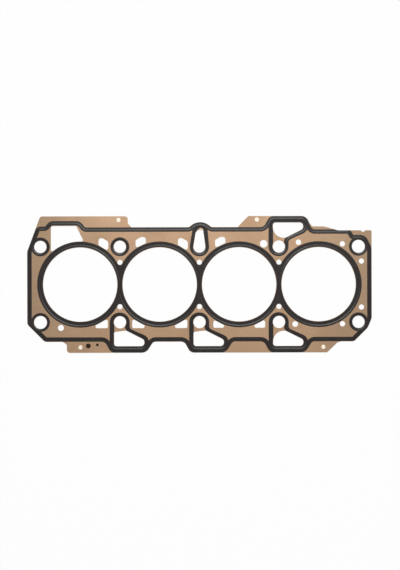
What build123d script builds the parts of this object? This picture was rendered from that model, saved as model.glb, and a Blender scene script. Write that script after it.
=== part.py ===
from build123d import *
import os
from math import atan2, hypot, sqrt, tan

# Cylinder head gasket for a four-cylinder in-line engine: three riveted steel sheets
# with pressed beads, stopper rings and printed elastomer tracks. Millimetres.
# The origin is the middle of the head bolt pattern, on the surface that the gasket
# lies on. +X runs along the cylinders and +Z points to the cylinder head.

# Cylinders and head bolts
bore_count = 4
bore_pitch = 90.0
web_width = 6.0  # between two bores
bore_radius = (bore_pitch - web_width) / 2
bolt_row = 42.75  # from the line of cylinders to each row of head bolts
bolt_hole_radius = 6.9
dowel_hole_radius = 7.3  # two opposite corner holes pass a dowel sleeve

# Thicknesses, before the bolts press the sheets together
sheet_thickness = 0.25
carrier_thickness = 0.7
coating_thickness = 0.1
bead_height = 0.22
stopper_thickness = 0.12

# Full bead, stopper and coating round a bore, measured out from its edge
bead_radius = bore_radius + 3.5
bead_floor = 0.7  # width of the flat floor of the full bead
bead_slope = 1.15  # width of each of its slopes
ring_inset = 0.3  # bare rim inside the coating
ring_radius = bore_radius + 6.7  # outer edge of the coating
stopper_inset = 0.25
stopper_width = 1.4

# Half bead and coating along the perimeter and round the bolt holes
half_slope = 1.6  # width of the slope of a half bead
seal_half = 2.65  # from the middle of the slope to the edge of the sheet
coating_half = 2.5
bolt_bead_radius = 8.3
bolt_coating_radius = 10.7
rim = 0.2  # bare steel between a hole and the coating round it

# Outer edges, measured from the end bolts and from the bolt rows
end_margin = 15.0
run_margin = 22.05
tab_margin = 34.55
corner_margin = 18.15  # the lower edge beside the right top corner
right_run_margin = 16.75  # the seal line beside the right top corner
window_run_margin = 26.7  # the seal line over the window
shelf_margin = 20.5  # the seal line beside the left top corner
loop_spacing = 2.1  # between the perimeter half bead and that of a drain loop

end_bolt = bore_pitch * bore_count / 2
half_length = end_bolt + end_margin
run_edge = bolt_row + run_margin
tab_edge = bolt_row + tab_margin
corner_edge = bolt_row + corner_margin
side = half_length - seal_half
run = run_edge - seal_half
tab_run = tab_edge - seal_half
right_run = bolt_row + right_run_margin
window_run = bolt_row + window_run_margin
shelf = bolt_row + shelf_margin
loop_depth = tab_run - bolt_row - loop_spacing

# Small round holes
web_hole_radius = 2.85  # coolant holes between the bores
code_hole_radii = (2.8, 1.6)  # thickness code, through the upper sheet alone
rivet_radius = 1.6
rivet_bore = 1.0
rivet_head_radius = 2.5
rivet_head = 0.2
rivet_clearance = 0.05

bores = [bore_pitch * (k - (bore_count - 1) / 2) for k in range(bore_count)]
bolts = [bore_pitch * (k - bore_count / 2) for k in range(bore_count + 1)]
webs = bolts[1:-1]
drains = [(x, -1) for x in webs] + [(webs[-1], 1)]  # bolt, and the side that it drains to
slot_bolt = webs[1]
ring_bolt = webs[0]
half_pitch = bore_pitch / 2

# Coolant holes that touch a web lie on both coating rings
web_hole_y = sqrt((ring_radius + web_hole_radius) ** 2 - half_pitch**2)
web_fill = 3.8  # width of the coating that joins two rings below a web hole

# Round coolant holes: x, bore, side, radius, and gap to the coating round the bore
round_rows = [
    (bolts[0] + 23.1, bores[0], -1, 3.4, 1.57),
    (bolts[3] + 22.2, bores[3], 1, 3.1, 0.93),
    (bolts[3] + 18.3, bores[3], -1, 3.2, 0.5),
    (bolts[4] - 18.1, bores[3], 1, 3.0, 1.24),
    (bolts[4] - 18.1, bores[3], -1, 3.0, 0.64),
    (bolts[4] + 3.4, bores[3], 1, 2.95, 3.3),
    (bolts[4] + 3.4, bores[3], -1, 2.95, 3.3),
    (bolts[3] - 17.2, bores[2], 1, 4.25, 0.67),
]
round_holes = []
for hole_x, bore_x, way, radius, gap in round_rows:
    apart = ring_radius + gap + radius
    round_holes.append((hole_x, way * sqrt(apart**2 - (hole_x - bore_x) ** 2), radius))

code_holes = [(bores[0] + 9.1, -(bolt_row + 26.7)), (bores[0] + 19.3, -(bolt_row + 25.5))]
rivets = [
    (ring_bolt - 1.65, bolt_row + 30.2),
    (bores[0] + 0.1, -(bolt_row + 28.45)),
    (bores[2] + 20.2, bolt_row + 30.4),
    (bores[3] + 5.2, -(bolt_row + 28.35)),
]


def rounded(corners):
    """Arc centre, radius, turn and touching points of each corner, limited by its walls."""
    count = len(corners)
    rows = []
    for k, (x, y, radius) in enumerate(corners):
        x0, y0, _ = corners[k - 1]
        x1, y1, _ = corners[(k + 1) % count]
        before = hypot(x - x0, y - y0)
        after = hypot(x1 - x, y1 - y)
        along = ((x - x0) / before, (y - y0) / before)
        away = ((x1 - x) / after, (y1 - y) / after)
        cross = along[0] * away[1] - along[1] * away[0]
        turn = atan2(cross, along[0] * away[0] + along[1] * away[1])
        reach = radius * tan(abs(turn) / 2)
        rows.append([x, y, along, away, turn, reach, after])
    factors = []
    for k, row in enumerate(rows):
        total = row[5] + rows[(k + 1) % count][5]
        factors.append(min(1.0, 0.98 * row[6] / total) if total else 1.0)
    for k, row in enumerate(rows):
        row[5] *= min(factors[k - 1], factors[k])
    return rows


def outline(corners, shift=0.0, z=0.0):
    """Closed wire round rounded corners, given counter-clockwise, moved outwards by shift."""
    ends = []
    for x, y, along, away, turn, reach, _ in rounded(corners):
        if reach == 0:
            bend = tan(turn / 2)
            point = (x + shift * (along[1] + along[0] * bend), y - shift * (along[0] - along[1] * bend))
            ends.append((point, None, point))
            continue
        start = (x - along[0] * reach, y - along[1] * reach)
        finish = (x + away[0] * reach, y + away[1] * reach)
        sign = 1 if turn > 0 else -1
        radius = reach / tan(abs(turn) / 2)
        centre = (start[0] - sign * along[1] * radius, start[1] + sign * along[0] * radius)
        radius += sign * shift
        out = (along[1] + away[1], -along[0] - away[0])
        size = hypot(*out) * sign
        start = (start[0] + shift * along[1], start[1] - shift * along[0])
        finish = (finish[0] + shift * away[1], finish[1] - shift * away[0])
        middle = (centre[0] + out[0] / size * radius, centre[1] + out[1] / size * radius)
        ends.append((start, middle, finish))
    edges = []
    for k, (start, middle, finish) in enumerate(ends):
        if middle:
            edges.append(Edge.make_three_point_arc((*start, z), (*middle, z), (*finish, z)))
        edges.append(Edge.make_line((*finish, z), (*ends[(k + 1) % len(ends)][0], z)))
    return Wire(edges)


def shape(corners, shift=0.0):
    """Flat region inside an outline."""
    return Sketch() + Face(outline(corners, shift))


def disc(x, y, radius):
    """Flat round region."""
    return Pos(x, y) * Circle(radius)


def moved(corners, x, y, flip=False):
    """Corners moved to a place, mirrored top to bottom when flip is set."""
    if flip:
        return [(x + a, y - b, r) for a, b, r in reversed(corners)]
    return [(x + a, y + b, r) for a, b, r in corners]


def perimeter():
    """Corners of the middle line of the perimeter seal."""
    cut = 18.25
    corners = [(-side, cut - run, 3.0), (cut - side, -run, 3.0)]
    for x in webs:
        corners += [(x - 15.6, -run, 9.2), (x - 8.9, -tab_run, 4.8)]
        corners += [(x + 28.3, -tab_run, 7.1), (x + 36.2, -run, 7.8)]
    corners += [(side - 18.4, -run, 3.0), (side - 4.05, 14.35 - run, 8.0), (side, 24.15 - run, 6.0)]
    corner_run = bolt_row + 10.4
    corners += [(side, bolt_row - 1.8, 12.0), (side - 5.85, corner_run, 7.5)]
    corners += [(side - 19.45, corner_run, 3.0), (side - 23.25, right_run, 3.0)]
    corners += [(webs[2] + 35.55, right_run, 8.1), (webs[2] + 29.5, tab_run, 6.0)]
    corners += [(webs[2] - 8.9, tab_run, 4.8), (webs[2] - 15.6, run, 9.2)]
    corners += [(slot_bolt + 12.65, run, 7.0), (slot_bolt + 1.0, run + 9.78, 13.3)]
    corners += [(slot_bolt - 10.65, run, 7.0)]
    corners += [(bores[0] + 4.55, run, 6.0), (bores[0] - 1.6, window_run, 6.0)]
    corners += [(bores[0] - 33.4, window_run, 6.0), (bolts[0] + 6.8, shelf, 6.0)]
    corners += [(bolts[0] - 2.6, shelf, 4.0), (-side, bolt_row - 5.7, 8.0)]
    return corners


def drain_loop():
    """Corners of the half bead round a head bolt and its oil drain, from the bolt."""
    return [
        (-9.1, -loop_depth, 5.5),
        (30.2, -loop_depth, 6.2),
        (30.2, -18.67, 6.6),
        (8.3, -8.93, 7.0),
        (8.3, 8.4, 8.6),
        (-9.1, 8.4, 8.6),
    ]


def drain_hole(round_corner):
    """Corners of an oil drain, from its head bolt. One kind has a wide round corner."""
    depth = loop_depth - 2.75
    corner = [(-6.55, -10.1, 12.0)] if round_corner else [(-6.7, -11.1, 1.8)]
    top = [(7.4, -9.9, 1.5)] if round_corner else [(6.8, -9.4, 1.0)]
    right = [(-6.7, -depth, 3.0), (27.5, -depth, 4.0), (27.5, -20.0, 4.0)]
    return right + top + corner


slot_length = 21.0  # from the bolt to the end of the slot
slot_ledge = 2.6  # the lower sheet shows this far in at that end
slot_loop = [
    (-9.85, -8.4, 8.2),
    (9.15, -8.4, 8.2),
    (6.35, slot_length + 2.0, 6.0),
    (-4.43, slot_length + 2.0, 6.0),
]
slot_hole = [
    (-7.9, -6.75, 6.6),
    (7.7, -6.75, 6.6),
    (3.9, slot_length, 2.3),
    (0.5, slot_length, 1.5),
    (-4.1, slot_length - 5.1, 4.0),
]


def tabs():
    """Regions outside the perimeter seal, where the sheets are riveted together."""
    left = -half_length
    top_left = [
        (left + 6.9, bolt_row + 13.25, 0),
        (webs[0] + 13.0, run, 0),
        (webs[0] + 13.0, run_edge, 0),
        (webs[0] + 9.1, run_edge + 4.3, 3.0),
        (webs[0] + 8.9, tab_edge, 3.4),
        (left + 14.8, tab_edge, 3.5),
    ]
    top_middle = [
        (bores[2] - 4.2, run, 0),
        (webs[2] - 6.0, run, 0),
        (webs[2] - 6.0, tab_edge, 0),
        (bores[2] + 10.4, tab_edge, 2.0),
    ]
    top_right = [
        (webs[2] + 32.0, right_run, 0),
        (bores[3] + 22.0, corner_edge, 0),
        (bores[3] + 6.5, run_edge + 0.6, 18.0),
        (webs[2] + 37.6, run_edge + 0.6, 3.0),
        (webs[2] + 34.9, run_edge + 4.5, 0),
        (webs[2] + 32.0, run_edge + 4.5, 0),
    ]
    corner = [
        (bores[3] + 22.0, right_run - 3.0, 0),
        (half_length, bolt_row - 6.0, 0),
        (half_length, corner_edge, 1.5),
        (bores[3] + 22.0, corner_edge, 0),
    ]
    bottom_left = [
        (bores[0] - 20.0, -run, 0),
        (bores[0] - 20.0, -run_edge, 0),
        (bores[0] - 15.2, -run_edge - 3.2, 3.0),
        (bores[0] - 15.2, -tab_edge, 3.6),
        (webs[0] - 6.0, -tab_edge, 0),
        (webs[0] - 6.0, -run, 0),
    ]
    bottom_middle = [
        (webs[1] + 25.0, -tab_edge, 0),
        (webs[2] - 6.0, -tab_edge, 0),
        (webs[2] - 6.0, -run, 0),
        (webs[1] + 25.0, -run, 0),
    ]
    bottom_right = [
        (webs[2] + 25.0, -tab_edge, 0),
        (bores[3] + 9.5, -tab_edge, 2.4),
        (bores[3] + 21.3, -run_edge - 1.1, 3.0),
        (bores[3] + 25.5, -run_edge, 0),
        (bores[3] + 25.5, -run, 0),
        (webs[2] + 25.0, -run, 0),
    ]
    return [top_left, top_middle, top_right, corner, bottom_left, bottom_middle, bottom_right]


def above_corner(gap=0.0):
    """Region beyond the straight edge at the right top corner, lowered by gap."""
    beyond = [
        (bores[3] + 22.0, corner_edge - gap, 0),
        (half_length + 9.0, corner_edge - gap, 0),
        (half_length + 9.0, tab_edge, 0),
        (bores[3] + 6.5, tab_edge, 0),
        (bores[3] + 6.5, run_edge + 0.6 - gap, 0),
    ]
    return shape(beyond)


def sheet_outline():
    """Outer outline of all three sheets."""
    region = shape(perimeter(), seal_half)
    for corners in tabs():
        region += shape(corners)
    notch = disc(half_length - 9.7, corner_edge + 0.95, 2.6)
    return region - above_corner() - notch


def touching(x, start, end):
    """Height at x of the line that touches the circle round the coating between two places."""
    reach = ring_radius + rim
    middle = (start + end) / 2
    return (reach**2 - x * middle) / sqrt(reach**2 - middle**2)


def mirrored(corners):
    """Corners mirrored left to right, still counter-clockwise."""
    return [(-a, b, r) for a, b, r in reversed(corners)]


def falling_hole():
    """Corners of the coolant hole above a bore and left of a head bolt, from the bore."""
    left = half_pitch - 24.2
    right = half_pitch - 13.1
    low = touching(left, left, right)
    high = low + 7.7
    corners = [(left, low, 1.5), (right, touching(right, left, right), 2.2)]
    return corners + [(right, high - 3.8, 3.5), (left + 4.6, high, 3.0), (left, high, 2.8)]


def rising_hole():
    """Corners of the coolant hole above a bore and right of a head bolt, from the bore."""
    left = 17.8 - half_pitch
    right = 29.4 - half_pitch
    low = touching(right, left, right)
    high = low + 6.9
    corners = [(left, touching(left, left, right), 2.2), (right, low, 1.2)]
    return corners + [(right, high, 3.0), (left + 6.2, high, 3.0), (left, high - 3.4, 2.5)]


def low_hole(gap):
    """Corners of the coolant hole below a bore, gap left of a head bolt, from the bore."""
    left = half_pitch - 27.8
    right = half_pitch - gap
    high = touching(left, left, right)
    low = high + 2.9
    corners = [(left, -low, 2.0), (right, -low, 1.8)]
    return corners + [(right, -touching(right, left, right), 2.0), (left, -high, 1.0)]


def window():
    """Large coolant window beside the left top corner. It follows the first bore."""
    edge = ring_radius + rim
    left = 11.9 - half_pitch
    top = window_run - coating_half - 0.6
    corners = [(left, 0.7 * edge, 0), (4.5, 0.94 * edge, 0), (4.5, edge - 0.9, 0)]
    region = shape(corners + [(-4.4, top, 1.5), (left, top, 2.5)]) - disc(0, 0, edge)
    ends = [v for v in region.vertices() if abs(hypot(v.X, v.Y) - edge) < 0.01]
    return Pos(bores[0], 0) * fillet(ends, 1.6)


def coolant_holes():
    """Shaped coolant holes beside the bores."""
    region = window()
    for k in (0, 1):
        region += shape(moved(falling_hole(), bores[k], 0))
        region += shape(moved(rising_hole(), bores[k + 1], 0))
        region += shape(moved(low_hole(13.8), bores[k], 0))
    region += shape(moved(mirrored(low_hole(13.8)), bores[1], 0))
    region += shape(moved(mirrored(low_hole(15.7)), bores[2], 0))
    return region + shape(moved(low_hole(15.7), bores[2], 0))


def bolt_radius(x, y):
    """Radius of the head bolt hole at a place. Two opposite corners hold a dowel sleeve."""
    dowel = abs(x) == end_bolt and x * y > 0
    return dowel_hole_radius if dowel else bolt_hole_radius


def bolt_places():
    """Centres of the round head bolt holes."""
    rows = [(x, y) for x in bolts for y in (bolt_row, -bolt_row)]
    rows.remove((slot_bolt, bolt_row))
    return rows


def holes(slot_end=0.0):
    """All holes that go through the sheets. slot_end shortens the long bolt slot."""
    region = coolant_holes()
    for x in bores:
        region += disc(x, 0, bore_radius)
    for x, y in bolt_places():
        region += disc(x, y, bolt_radius(x, y))
    for x in webs:
        region += disc(x, web_hole_y, web_hole_radius)
        region += disc(x, -web_hole_y, web_hole_radius)
    for x, y, radius in round_holes:
        region += disc(x, y, radius)
    for x, way in drains:
        round_corner = x == webs[-1]
        region += shape(moved(drain_hole(round_corner), x, way * bolt_row, flip=way > 0))
    slot = shape(moved(slot_hole, slot_bolt, bolt_row))
    if slot_end:
        slot -= Pos(slot_bolt, bolt_row + slot_length) * Rectangle(slot_length, 2 * slot_end)
    return region + slot


def rivet_holes():
    """Holes for the rivets."""
    region = Sketch()
    for x, y in rivets:
        region += disc(x, y, rivet_radius + rivet_clearance)
    return region


def slope(corners, outer, inner):
    """Solid whose side slopes from one shift of an outline at its foot to another at its top."""
    return Solid.make_loft([outline(corners, outer), outline(corners, inner, bead_height)], ruled=True)


def raised_field():
    """Space under the raised part of a sheet: inside the perimeter half bead, outside the
    half beads of the bolts and drains, and beside the full beads round the bores."""
    foot = half_slope / 2
    field = Part() + slope(perimeter(), foot, -foot)
    hollows = [slope(moved(slot_loop, slot_bolt, bolt_row), -foot, foot)]
    for x, y in bolt_places():
        if abs(x) == end_bolt or (x == ring_bolt and y > 0):
            radius = bolt_bead_radius
            hollows.append(Solid.make_cone(radius - foot, radius + foot, bead_height, Plane((x, y, 0))))
    for x, way in drains:
        loop = moved(drain_loop(), x, way * bolt_row, flip=way > 0)
        hollows.append(slope(loop, -foot, foot))
    floor = bead_floor / 2
    top = floor + bead_slope
    insides = []
    for x in bores:
        plane = Plane((x, 0, 0))
        hollows.append(Solid.make_cone(bead_radius + floor, bead_radius + top, bead_height, plane))
        insides.append(Solid.make_cone(bead_radius - floor, bead_radius - top, bead_height, plane))
    return field - hollows + insides


def pressed_blank(field, thickness):
    """Sheet or coating before its outline is cut, with the underside of its low parts at zero."""
    flat = extrude(Rectangle(2.2 * half_length, 2.4 * tab_edge), thickness)
    return flat + Pos(0, 0, thickness) * field - field


def cut_out(blank, region, thickness, z):
    """Piece of a pressed blank with the outline of a flat region, put at height z."""
    return Pos(0, 0, z) * (blank & extrude(region, thickness + bead_height))


def combustion_tracks():
    """Coating round the four bores, joined and filled in at the webs."""
    region = Sketch()
    for x in bores:
        region += disc(x, 0, ring_radius)
    for x in webs:
        region += Pos(x, 0) * Rectangle(web_fill, 2 * (web_hole_y - web_hole_radius))
    for x in bores:
        region -= disc(x, 0, bore_radius + ring_inset)
    for x in webs:
        for y in (web_hole_y, -web_hole_y):
            region -= disc(x, y, web_hole_radius + rim)
    return region


def perimeter_tracks():
    """Coating along the perimeter, round the drains and the bolts that join it."""
    line = perimeter()
    region = shape(line, coating_half) - shape(line, -coating_half)
    for x, way in drains:
        loop = moved(drain_loop(), x, way * bolt_row, flip=way > 0)
        region += shape(loop, seal_half) - shape(loop, -seal_half)
    slot = moved(slot_loop, slot_bolt, bolt_row)
    region += shape(slot, seal_half) - shape(slot, -seal_half)
    for x, y in bolt_places():
        if abs(x) == end_bolt:
            region += disc(x, y, bolt_coating_radius)
    region -= above_corner(seal_half - coating_half)
    for x, y in bolt_places():
        region -= disc(x, y, bolt_radius(x, y) + rim)
    for x, way in drains:
        drain = moved(drain_hole(x == webs[-1]), x, way * bolt_row, flip=way > 0)
        region -= shape(drain, rim)
    return region - shape(moved(slot_hole, slot_bolt, bolt_row), rim)


def bolt_tracks():
    """Coating round the one head bolt hole that stands alone."""
    inner = bolt_hole_radius + rim
    return disc(ring_bolt, bolt_row, bolt_coating_radius) - disc(ring_bolt, bolt_row, inner)


def rivet(x, y):
    """Hollow rivet with a rolled head on both sides."""
    half = carrier_thickness / 2 + sheet_thickness
    top = half + rivet_head
    roll = rivet_head / 2
    rim_x = rivet_head_radius - roll
    mouth_x = rivet_bore + roll
    lines = Polyline((rivet_bore, 0), (rivet_radius, 0), (rivet_radius, half), (rim_x, half))
    lines += ThreePointArc((rim_x, half), (rivet_head_radius, half + roll), (rim_x, top))
    lines += Line((rim_x, top), (mouth_x, top))
    lines += RadiusArc((mouth_x, top), (rivet_bore, top - roll), -roll)
    lines += Line((rivet_bore, top - roll), (rivet_bore, 0))
    upper = revolve(Plane.XZ * make_face(lines), Axis.Z)
    return Pos(x, y) * (upper + mirror(upper, Plane.XY))


def stopper_ring(x):
    """Flat ring on the carrier, between the bore and the full bead."""
    inner = bore_radius + stopper_inset
    ring = disc(x, 0, inner + stopper_width) - disc(x, 0, inner)
    return extrude(Plane.XY.offset(carrier_thickness / 2) * ring, stopper_thickness)


def build():
    """All pieces by name, with the middle of the carrier at height zero."""
    sheet_z = carrier_thickness / 2
    coating_z = sheet_z + sheet_thickness
    plate = sheet_outline() - rivet_holes()
    through = holes()
    upper = plate - through
    for (x, y), radius in zip(code_holes, code_hole_radii):
        upper -= disc(x, y, radius)
    lower = plate - holes(slot_ledge)
    nodes = {"carrier_sheet": Pos(0, 0, -sheet_z) * extrude(plate - through, carrier_thickness)}
    field = raised_field()
    blank = pressed_blank(field, sheet_thickness)
    nodes["upper_sheet"] = cut_out(blank, upper, sheet_thickness, sheet_z)
    nodes["lower_sheet"] = mirror(cut_out(blank, lower, sheet_thickness, sheet_z), Plane.XY)
    blank = pressed_blank(field, coating_thickness)
    tracks = {"combustion": combustion_tracks(), "perimeter": perimeter_tracks(), "bolt": bolt_tracks()}
    for name, region in tracks.items():
        coating = cut_out(blank, region, coating_thickness, coating_z)
        nodes[f"upper_{name}_coating"] = coating
        nodes[f"lower_{name}_coating"] = mirror(coating, Plane.XY)
    for k, x in enumerate(bores):
        nodes[f"stopper_ring_{k + 1}"] = stopper_ring(x)
    for k, (x, y) in enumerate(rivets):
        nodes[f"rivet_{k + 1}"] = rivet(x, y)
    return nodes


half_height = carrier_thickness / 2 + sheet_thickness + bead_height + coating_thickness
os.makedirs("parts", exist_ok=True)
for node, solid in build().items():
    part = Pos(0, 0, half_height) * solid
    part.label = node
    export_step(part, f"parts/{node}.step")
    box = part.bounding_box()
    print(node, round(part.volume, 2), [round(v, 3) for v in (*box.min, *box.max)])
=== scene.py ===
import math

import bpy
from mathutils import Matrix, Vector


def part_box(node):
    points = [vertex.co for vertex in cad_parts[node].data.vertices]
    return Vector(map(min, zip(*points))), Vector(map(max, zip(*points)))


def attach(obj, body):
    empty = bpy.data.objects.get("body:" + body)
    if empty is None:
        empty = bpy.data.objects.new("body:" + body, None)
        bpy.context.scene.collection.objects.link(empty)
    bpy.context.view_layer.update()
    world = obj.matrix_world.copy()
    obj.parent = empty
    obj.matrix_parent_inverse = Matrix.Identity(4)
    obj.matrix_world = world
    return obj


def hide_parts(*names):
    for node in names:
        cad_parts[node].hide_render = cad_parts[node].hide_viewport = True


# Cylinder head gasket: tan spring steel sheets with black elastomer tracks, lying flat.
# Metres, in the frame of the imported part. +Y is the top of the picture.

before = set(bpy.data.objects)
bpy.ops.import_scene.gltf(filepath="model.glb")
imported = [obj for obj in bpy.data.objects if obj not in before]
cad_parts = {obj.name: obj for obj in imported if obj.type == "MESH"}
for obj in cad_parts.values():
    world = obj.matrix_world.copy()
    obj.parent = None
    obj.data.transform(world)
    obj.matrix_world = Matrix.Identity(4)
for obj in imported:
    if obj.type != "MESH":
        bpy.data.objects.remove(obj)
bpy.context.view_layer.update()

MM = 0.001

# Hollow rivets, in mm from their axis and from the middle of their length
rivet_wall = 1.3  # radius at the middle of the wall, from which its profile is drawn
pinch_radii = (1.7, 2.45)  # the pinches of the rolled head grow between these
pinch_heights = (0.55, 0.6)

# Floor, just under the gasket
floor_half = 4.0
floor_height = -0.02 * MM

# Camera, straight above the gasket
view_middle = (0.64 * MM, -0.70 * MM)
view_distance = 3.0
view_half_height = 322.8 * MM
view_roll = -0.12  # degrees
film_width = 36.0


def linear(red, green, blue):
    """Colour for a shader from the 0 to 255 values seen on screen."""
    return tuple((v / 255) ** 2.2 for v in (red, green, blue)) + (1.0,)


def new_group(name, inputs, outputs):
    """Shader node group with named sockets. Each input is name, socket type and default."""
    group = bpy.data.node_groups.new(name, "ShaderNodeTree")
    for label, kind, value in inputs:
        socket = group.interface.new_socket(name=label, in_out="INPUT", socket_type=kind)
        if value is not None:
            socket.default_value = value
    for label, kind in outputs:
        group.interface.new_socket(name=label, in_out="OUTPUT", socket_type=kind)
    entry = group.nodes.new("NodeGroupInput")
    leave = group.nodes.new("NodeGroupOutput")
    return group, entry, leave


def add_node(tree, kind, settings=(), values=()):
    """Node with its settings and the values of its unlinked inputs."""
    node = tree.nodes.new(kind)
    for key, value in dict(settings).items():
        setattr(node, key, value)
    for key, value in dict(values).items():
        node.inputs[key].default_value = value
    return node


def new_object(name, data):
    """Object in the scene, at the origin."""
    thing = bpy.data.objects.new(name, data)
    bpy.context.scene.collection.objects.link(thing)
    return thing


def split(tree, vector):
    """X, Y and Z of a vector socket."""
    node = add_node(tree, "ShaderNodeSeparateXYZ")
    tree.links.new(vector, node.inputs[0])
    return node.outputs


def maths(tree, operation, first, second=None):
    """Math node on sockets or plain numbers."""
    node = add_node(tree, "ShaderNodeMath", {"operation": operation})
    for k, value in enumerate((first, second)):
        if value is None:
            continue
        if isinstance(value, (int, float)):
            node.inputs[k].default_value = value
        else:
            tree.links.new(value, node.inputs[k])
    return node.outputs[0]


def noise(tree, vector, scale, detail=3.0, roughness=0.55):
    """Noise value on a vector socket."""
    node = add_node(tree, "ShaderNodeTexNoise", values={"Detail": detail, "Roughness": roughness})
    tree.links.new(vector, node.inputs["Vector"])
    if isinstance(scale, (int, float)):
        node.inputs["Scale"].default_value = scale
    else:
        tree.links.new(scale, node.inputs["Scale"])
    return node.outputs["Fac"]


def mapped(tree, value, low, high, new_low, new_high):
    """Value taken from one range to another, clamped."""
    node = add_node(tree, "ShaderNodeMapRange")
    tree.links.new(value, node.inputs["Value"])
    ends = {"From Min": low, "From Max": high, "To Min": new_low, "To Max": new_high}
    for key, number in ends.items():
        if isinstance(number, (int, float)):
            node.inputs[key].default_value = number
        else:
            tree.links.new(number, node.inputs[key])
    return node.outputs["Result"]


def rolled_grain():
    """Fine lines that cold rolling leaves in strip steel, along X, with a few stray scratches."""
    group, entry, leave = new_group(
        "rolled_grain",
        [
            ("Vector", "NodeSocketVector", None),
            ("Lines per metre", "NodeSocketFloat", 2600.0),
            ("Stretch", "NodeSocketFloat", 0.025),
        ],
        [("Height", "NodeSocketFloat"), ("Scratches", "NodeSocketFloat")],
    )
    squeeze = add_node(group, "ShaderNodeCombineXYZ", values={"Y": 1.0, "Z": 1.0})
    group.links.new(entry.outputs["Stretch"], squeeze.inputs["X"])
    along = add_node(group, "ShaderNodeVectorMath", {"operation": "MULTIPLY"})
    group.links.new(entry.outputs["Vector"], along.inputs[0])
    group.links.new(squeeze.outputs[0], along.inputs[1])
    lines = noise(group, along.outputs[0], entry.outputs["Lines per metre"], 4.0, 0.6)
    group.links.new(lines, leave.inputs["Height"])
    slant = {"Rotation": (0, 0, 0.7), "Scale": (0.04, 1, 1)}
    turned = add_node(group, "ShaderNodeMapping", values=slant)
    group.links.new(entry.outputs["Vector"], turned.inputs["Vector"])
    stray = noise(group, turned.outputs[0], 5200.0, 2.0, 0.5)
    group.links.new(mapped(group, stray, 0.67, 0.72, 0.0, 1.0), leave.inputs["Scratches"])
    return group


def patches():
    """Soft uneven tone of a surface: broad clouds and small spots."""
    group, entry, leave = new_group(
        "patches",
        [
            ("Vector", "NodeSocketVector", None),
            ("Clouds per metre", "NodeSocketFloat", 22.0),
            ("Spots per metre", "NodeSocketFloat", 420.0),
        ],
        [("Clouds", "NodeSocketFloat"), ("Spots", "NodeSocketFloat")],
    )
    clouds = noise(group, entry.outputs["Vector"], entry.outputs["Clouds per metre"], 3.0, 0.5)
    group.links.new(mapped(group, clouds, 0.3, 0.7, 0.0, 1.0), leave.inputs["Clouds"])
    spots = noise(group, entry.outputs["Vector"], entry.outputs["Spots per metre"], 4.0, 0.6)
    group.links.new(mapped(group, spots, 0.3, 0.7, 0.0, 1.0), leave.inputs["Spots"])
    return group


def bead_slope_and_cut_edge_masks():
    """Masks of a sheet's bead slopes, where highlight is painted, and of its cut edges."""
    group, entry, leave = new_group(
        "bead_slope_and_cut_edge_masks",
        [("Steepest", "NodeSocketFloat", 0.02)],
        [("Slope", "NodeSocketFloat"), ("Cut edge", "NodeSocketFloat")],
    )
    surface = add_node(group, "ShaderNodeNewGeometry")
    upright = maths(group, "ABSOLUTE", split(group, surface.outputs["Normal"])["Z"])
    lean = maths(group, "SUBTRACT", 1.0, upright)
    slope = mapped(group, lean, 0.002, entry.outputs["Steepest"], 0.0, 1.0)
    flat = mapped(group, upright, 0.5, 0.9, 0.0, 1.0)
    group.links.new(maths(group, "MULTIPLY", slope, flat), leave.inputs["Slope"])
    group.links.new(mapped(group, upright, 0.2, 0.5, 1.0, 0.0), leave.inputs["Cut edge"])
    return group


groups = {"grain": rolled_grain(), "patches": patches(), "slope_and_edge": bead_slope_and_cut_edge_masks()}


def place_group(tree, key, values=()):
    """One of the shared effects, with its own values, read on Object coordinates."""
    node = tree.nodes.new("ShaderNodeGroup")
    node.node_tree = groups[key]
    for label, value in dict(values).items():
        node.inputs[label].default_value = value
    if "Vector" in node.inputs:
        place = tree.nodes.get("place") or tree.nodes.new("ShaderNodeTexCoord")
        place.name = "place"
        tree.links.new(place.outputs["Object"], node.inputs["Vector"])
    return node


def tinted(tree, factor, first, second):
    """Colour between two colours or sockets."""
    node = add_node(tree, "ShaderNodeMix", {"data_type": "RGBA"})
    if isinstance(factor, (int, float)):
        node.inputs["Factor"].default_value = factor
    else:
        tree.links.new(factor, node.inputs["Factor"])
    for key, value in (("A", first), ("B", second)):
        socket = next(s for s in node.inputs if s.name == key and s.type == "RGBA")
        if isinstance(value, tuple):
            socket.default_value = value
        else:
            tree.links.new(value, socket)
    return next(s for s in node.outputs if s.type == "RGBA")


def new_material(name, **uniform):
    """Material with a Principled shader whose uniform values are set on its own sockets."""
    material = bpy.data.materials.new(name)
    material.use_nodes = True
    shader = material.node_tree.nodes["Principled BSDF"]
    for key, value in uniform.items():
        shader.inputs[key.replace("_", " ")].default_value = value
    return material, material.node_tree, shader


def set_surface(tree, shader, colour, rough, height, depth):
    """Colour, roughness and a relief of some depth into the shader."""
    relief = add_node(tree, "ShaderNodeBump", values={"Distance": depth, "Strength": 1.0})
    tree.links.new(height, relief.inputs["Height"])
    tree.links.new(relief.outputs["Normal"], shader.inputs["Normal"])
    tree.links.new(colour, shader.inputs["Base Color"])
    tree.links.new(rough, shader.inputs["Roughness"])


def seen_as_background(tree):
    """Mask of the rays that see the white surroundings: camera, glossy and transmission."""
    path = tree.nodes.new("ShaderNodeLightPath")
    seen = maths(tree, "MAXIMUM", path.outputs["Is Camera Ray"], path.outputs["Is Glossy Ray"])
    return maths(tree, "MAXIMUM", seen, path.outputs["Is Transmission Ray"])


def toward_ends(tree, start, end, most):
    """Mask that grows from nothing at one distance from the middle to its most at another."""
    along = split(tree, tree.nodes["place"].outputs["Object"])["X"]
    return mapped(tree, maths(tree, "ABSOLUTE", along), start, end, 0.0, most)


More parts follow.
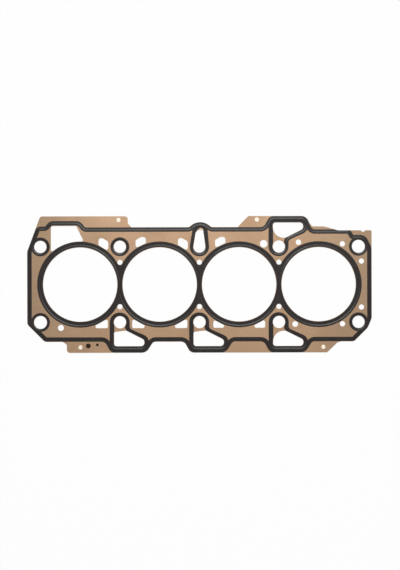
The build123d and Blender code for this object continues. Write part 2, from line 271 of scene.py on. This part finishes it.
def sheet_material(name, pale_top_amount=0.0):
    """Tan lacquered spring steel. The last argument is how far the faces that point up are tinted
    paler.
    """
    material, tree, shader = new_material(name, Metallic=0.6, Specular_IOR_Level=0.5)
    grain = place_group(tree, "grain")
    tone = place_group(tree, "patches")
    slope_and_edge = place_group(tree, "slope_and_edge")
    colour = tinted(tree, tone.outputs["Clouds"], linear(149, 119, 92), linear(160, 130, 103))
    ends = toward_ends(tree, start=0.105, end=0.19, most=0.55)
    colour = tinted(tree, ends, colour, linear(122, 104, 84))
    spots = mapped(tree, tone.outputs["Spots"], 0.0, 1.0, 0.0, 0.16)
    colour = tinted(tree, spots, colour, linear(122, 95, 70))
    lines = mapped(tree, grain.outputs["Height"], 0.35, 0.65, 0.0, 0.14)
    colour = tinted(tree, lines, colour, linear(186, 158, 130))
    marks = maths(tree, "MULTIPLY", grain.outputs["Scratches"], 0.25)
    colour = tinted(tree, marks, colour, linear(205, 182, 156))
    # painted highlight: the bead slopes of the tan sheet are tinted lighter
    painted_sheen = maths(tree, "MULTIPLY", slope_and_edge.outputs["Slope"], 0.3)
    colour = tinted(tree, painted_sheen, colour, linear(190, 164, 138))
    if pale_top_amount:
        # the faces that point up are tinted paler
        surface = add_node(tree, "ShaderNodeNewGeometry")
        up = mapped(tree, split(tree, surface.outputs["Normal"])["Z"], 0.5, 0.9, 0.0, pale_top_amount)
        colour = tinted(tree, up, colour, linear(206, 184, 164))
    cut = maths(tree, "MULTIPLY", slope_and_edge.outputs["Cut edge"], 0.8)
    colour = tinted(tree, cut, colour, linear(182, 174, 164))
    rough = mapped(tree, tone.outputs["Clouds"], 0.0, 1.0, 0.47, 0.40)
    set_surface(tree, shader, colour, rough, grain.outputs["Height"], 0.006 * MM)
    return material


def coating_material():
    """Black elastomer printed on the steel, with a fine grit."""
    material, tree, shader = new_material("black_elastomer", Metallic=0.0, Specular_IOR_Level=0.24)
    tone = place_group(tree, "patches", {"Clouds per metre": 60.0, "Spots per metre": 2400.0})
    slope_and_edge = place_group(tree, "slope_and_edge")
    colour = tinted(tree, tone.outputs["Clouds"], linear(32, 27, 25), linear(42, 37, 35))
    # painted highlight: the bead slopes of the black coating are tinted lighter
    painted_sheen = maths(tree, "MULTIPLY", slope_and_edge.outputs["Slope"], 0.25)
    colour = tinted(tree, painted_sheen, colour, linear(50, 45, 43))
    grit = mapped(tree, tone.outputs["Spots"], 0.55, 1.0, 0.0, 0.4)
    colour = tinted(tree, grit, colour, linear(58, 52, 49))
    rough = mapped(tree, tone.outputs["Spots"], 0.0, 1.0, 0.24, 0.30)
    set_surface(tree, shader, colour, rough, tone.outputs["Spots"], 0.005 * MM)
    return material


def carrier_material():
    """Dark carrier plate with the grain of rolled strip."""
    material, tree, shader = new_material("dark_carrier_steel", Metallic=0.85)
    grain = place_group(tree, "grain", {"Lines per metre": 1800.0})
    tone = place_group(tree, "patches")
    slope_and_edge = place_group(tree, "slope_and_edge")
    colour = tinted(tree, tone.outputs["Clouds"], linear(38, 24, 10), linear(50, 34, 18))
    lines = mapped(tree, grain.outputs["Height"], 0.35, 0.65, 0.0, 0.3)
    colour = tinted(tree, lines, colour, linear(46, 42, 39))
    cut = maths(tree, "MULTIPLY", slope_and_edge.outputs["Cut edge"], 0.7)
    colour = tinted(tree, cut, colour, linear(138, 133, 126))
    rough = mapped(tree, tone.outputs["Spots"], 0.0, 1.0, 0.42, 0.55)
    set_surface(tree, shader, colour, rough, grain.outputs["Height"], 0.006 * MM)
    return material


def stopper_material():
    """Bright stainless strip of the stopper rings."""
    material, tree, shader = new_material("bright_stopper_steel", Metallic=1.0)
    grain = place_group(tree, "grain", {"Lines per metre": 3200.0})
    tone = place_group(tree, "patches", {"Clouds per metre": 90.0})
    colour = tinted(tree, tone.outputs["Clouds"], linear(176, 172, 166), linear(204, 201, 196))
    rough = mapped(tree, grain.outputs["Height"], 0.3, 0.7, 0.24, 0.38)
    set_surface(tree, shader, colour, rough, grain.outputs["Height"], 0.004 * MM)
    return material


def rivet_material():
    """Pale plated steel of the rivets, with the small dents of a rolled head."""
    material, tree, shader = new_material("pale_rivet_steel", Metallic=0.5)
    tone = place_group(tree, "patches", {"Clouds per metre": 700.0, "Spots per metre": 4000.0})
    colour = tinted(tree, tone.outputs["Clouds"], linear(220, 204, 178), linear(234, 220, 198))
    rough = mapped(tree, tone.outputs["Spots"], 0.0, 1.0, 0.34, 0.48)
    set_surface(tree, shader, colour, rough, tone.outputs["Clouds"], 0.02 * MM)
    return material


def floor_material():
    """White floor that keeps the soft shadow under the gasket."""
    material, tree, shader = new_material("white_floor", Roughness=0.9)
    shader.inputs["Base Color"].default_value = (0.98, 0.98, 0.98, 1.0)
    glow = add_node(tree, "ShaderNodeEmission", values={"Color": (1, 1, 1, 1), "Strength": 1.0})
    mix = tree.nodes.new("ShaderNodeMixShader")
    tree.links.new(maths(tree, "MULTIPLY", seen_as_background(tree), 0.95), mix.inputs[0])
    tree.links.new(shader.outputs[0], mix.inputs[1])
    tree.links.new(glow.outputs[0], mix.inputs[2])
    tree.links.new(mix.outputs[0], tree.nodes["Material Output"].inputs["Surface"])
    return material


def rivet_profile():
    """Curve round the section of a hollow rivet's wall. The numbers are radius and height in mm."""
    half = [(1.0, 0.0), (1.0, 0.56), (1.03, 0.66), (1.11, 0.74), (1.24, 0.785), (1.42, 0.8)]
    half += [(1.66, 0.8), (1.92, 0.79), (2.16, 0.765), (2.34, 0.73), (2.45, 0.685), (2.5, 0.645)]
    half += [(2.48, 0.61), (2.42, 0.6), (1.68, 0.6), (1.61, 0.58), (1.6, 0.5), (1.6, 0.0)]
    outline = half + [(radius, -z) for radius, z in reversed(half[1:-1])]
    curve = bpy.data.curves.new("rivet_profile", "CURVE")
    curve.dimensions = "2D"
    spline = curve.splines.new("POLY")
    spline.points.add(len(outline) - 1)
    for point, (radius, z) in zip(spline.points, reversed(outline)):
        point.co = ((radius - rivet_wall) * MM, z * MM, 0, 1)
    spline.use_cyclic_u = True
    return new_object("rivet_profile", curve)


def rivet_tree():
    """Geometry nodes that set a hollow rivet on each point, its rolled head pinched all round."""
    tree = bpy.data.node_groups.new("hollow_rivets", "GeometryNodeTree")
    tree.interface.new_socket(name="Geometry", in_out="OUTPUT", socket_type="NodeSocketGeometry")
    for label, kind, value in (
        ("Geometry", "Geometry", None),
        ("Profile", "Object", None),
        ("Wall radius", "Float", rivet_wall * MM),
        ("Segments", "Int", 64),
        ("Pinches", "Float", 9.0),
        ("Pinch depth", "Float", 0.1 * MM),
        ("Seed", "Int", 7),
        ("Material", "Material", None),
    ):
        kind = "NodeSocket" + kind
        socket = tree.interface.new_socket(name=label, in_out="INPUT", socket_type=kind)
        if value is not None:
            socket.default_value = value
    entry = tree.nodes.new("NodeGroupInput")
    leave = tree.nodes.new("NodeGroupOutput")
    turn = tree.nodes.new("GeometryNodeCurvePrimitiveCircle")
    tree.links.new(entry.outputs["Wall radius"], turn.inputs["Radius"])
    tree.links.new(entry.outputs["Segments"], turn.inputs["Resolution"])
    profile = tree.nodes.new("GeometryNodeObjectInfo")
    tree.links.new(entry.outputs["Profile"], profile.inputs["Object"])
    wall = tree.nodes.new("GeometryNodeCurveToMesh")
    tree.links.new(turn.outputs["Curve"], wall.inputs["Curve"])
    tree.links.new(profile.outputs["Geometry"], wall.inputs["Profile Curve"])

    place = tree.nodes.new("GeometryNodeInputPosition")
    x, y, z = split(tree, place.outputs[0])
    square = maths(tree, "ADD", maths(tree, "MULTIPLY", x, x), maths(tree, "MULTIPLY", y, y))
    radius = maths(tree, "SQRT", square)
    turned = maths(tree, "MULTIPLY", maths(tree, "ARCTAN2", y, x), entry.outputs["Pinches"])
    wave = maths(tree, "MAXIMUM", maths(tree, "COSINE", turned), 0.0)
    pinch = maths(tree, "POWER", wave, 5.0)
    outer = mapped(tree, radius, *(r * MM for r in pinch_radii), 0.0, 1.0)
    rolled = mapped(tree, z, *(h * MM for h in pinch_heights), 0.0, 1.0)
    pinch = maths(tree, "MULTIPLY", maths(tree, "MULTIPLY", pinch, outer), rolled)
    depth = maths(tree, "MULTIPLY", pinch, entry.outputs["Pinch depth"])
    inward = maths(tree, "MULTIPLY", maths(tree, "DIVIDE", depth, radius), -1.0)
    shift = tree.nodes.new("ShaderNodeCombineXYZ")
    tree.links.new(maths(tree, "MULTIPLY", x, inward), shift.inputs["X"])
    tree.links.new(maths(tree, "MULTIPLY", y, inward), shift.inputs["Y"])
    pinched = tree.nodes.new("GeometryNodeSetPosition")
    tree.links.new(wall.outputs[0], pinched.inputs["Geometry"])
    tree.links.new(shift.outputs[0], pinched.inputs["Offset"])
    smooth = tree.nodes.new("GeometryNodeSetShadeSmooth")
    tree.links.new(pinched.outputs[0], smooth.inputs[0])

    angle = add_node(tree, "FunctionNodeRandomValue", {"data_type": "FLOAT_VECTOR"})
    angle.inputs["Max"].default_value = (0, 0, 2 * math.pi)
    tree.links.new(entry.outputs["Seed"], angle.inputs["Seed"])
    rivets = tree.nodes.new("GeometryNodeInstanceOnPoints")
    tree.links.new(entry.outputs["Geometry"], rivets.inputs["Points"])
    tree.links.new(smooth.outputs[0], rivets.inputs["Instance"])
    tree.links.new(angle.outputs[0], rivets.inputs["Rotation"])
    real = tree.nodes.new("GeometryNodeRealizeInstances")
    tree.links.new(rivets.outputs[0], real.inputs[0])
    dressed = tree.nodes.new("GeometryNodeSetMaterial")
    tree.links.new(real.outputs[0], dressed.inputs["Geometry"])
    tree.links.new(entry.outputs["Material"], dressed.inputs["Material"])
    tree.links.new(dressed.outputs[0], leave.inputs[0])
    return tree


def make_rivets(material):
    """The four hollow rivets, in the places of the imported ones."""
    names = [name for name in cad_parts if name.startswith("rivet")]
    points = []
    for name in names:
        low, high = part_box(name)
        points.append([(a + b) / 2 for a, b in zip(low, high)])
    mesh = bpy.data.meshes.new("rivet_places")
    mesh.from_pydata(points, [], [])
    places = new_object("rivet_places", mesh)
    profile = rivet_profile()
    tree = rivet_tree()
    modifier = places.modifiers.new("hollow_rivets", "NODES")
    modifier.node_group = tree
    given = {"Profile": profile, "Material": material}
    for item in tree.interface.items_tree:
        if item.name in given:
            modifier[item.identifier] = given[item.name]
    ready = places.evaluated_get(bpy.context.evaluated_depsgraph_get())
    finished = bpy.data.meshes.new_from_object(ready)
    finished.name = "hollow_rivets"
    places.modifiers.clear()
    for thing in (places, profile):
        bpy.data.objects.remove(thing)
    piece = new_object("hollow_rivets", finished)
    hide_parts(*names)
    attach(piece, "root")


def make_floor():
    """Plain floor that the gasket lies on."""
    mesh = bpy.data.meshes.new("floor")
    corners = [(-1, -1), (1, -1), (1, 1), (-1, 1)]
    corners = [(x * floor_half, y * floor_half, floor_height) for x, y in corners]
    mesh.from_pydata(corners, [], [(0, 1, 2, 3)])
    mesh.materials.append(floor_material())
    new_object("floor", mesh)


def make_camera():
    """Long lens straight above, with the picture's own small roll."""
    data = bpy.data.cameras.new("camera")
    data.sensor_width = film_width
    data.lens = film_width / 2 * view_distance / view_half_height
    data.clip_start = 0.1
    data.clip_end = 50.0
    camera = new_object("camera", data)
    camera.location = (*view_middle, view_distance)
    camera.rotation_euler = (0, 0, math.radians(view_roll))
    bpy.context.scene.camera = camera


def add_lamp(name, place, size, power):
    """Soft rectangular lamp that faces the middle of the gasket."""
    data = bpy.data.lights.new(name, "AREA")
    data.shape = "RECTANGLE"
    data.size, data.size_y = size
    data.energy = power
    lamp = new_object(name, data)
    lamp.location = place
    lamp.rotation_euler = (-Vector(place)).to_track_quat("-Z", "Y").to_euler()
    lamp.visible_camera = False


def make_world():
    """White surroundings for camera and reflections, and an even light for the rest."""
    world = bpy.data.worlds.new("studio")
    world.use_nodes = True
    tree = world.node_tree
    back = tree.nodes["Background"]
    back.inputs["Color"].default_value = (1, 1, 1, 1)
    strength = mapped(tree, seen_as_background(tree), 0.0, 1.0, 0.45, 1.0)
    tree.links.new(strength, back.inputs["Strength"])
    bpy.context.scene.world = world


make_camera()
make_world()
make_floor()
add_lamp("key_lamp", place=(0.03, 0.29, 1.0), size=(0.46, 0.20), power=2.8)
add_lamp("wide_lamp", place=(0.0, 0.9, 1.9), size=(1.5, 0.6), power=6.0)

# The first word that a node's name holds gives its finish
finishes = {
    "carrier": carrier_material(),
    "lower_sheet": sheet_material("tan_spring_steel_pale_top", 0.45),
    "sheet": sheet_material("tan_spring_steel"),
    "coating": coating_material(),
    "stopper": stopper_material(),
    "rivet": rivet_material(),
}
make_rivets(finishes["rivet"])
for name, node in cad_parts.items():
    word = next(word for word in finishes if word in name)
    for slot in node.material_slots:
        slot.material = finishes[word]

bpy.context.scene.view_settings.view_transform = "Standard"
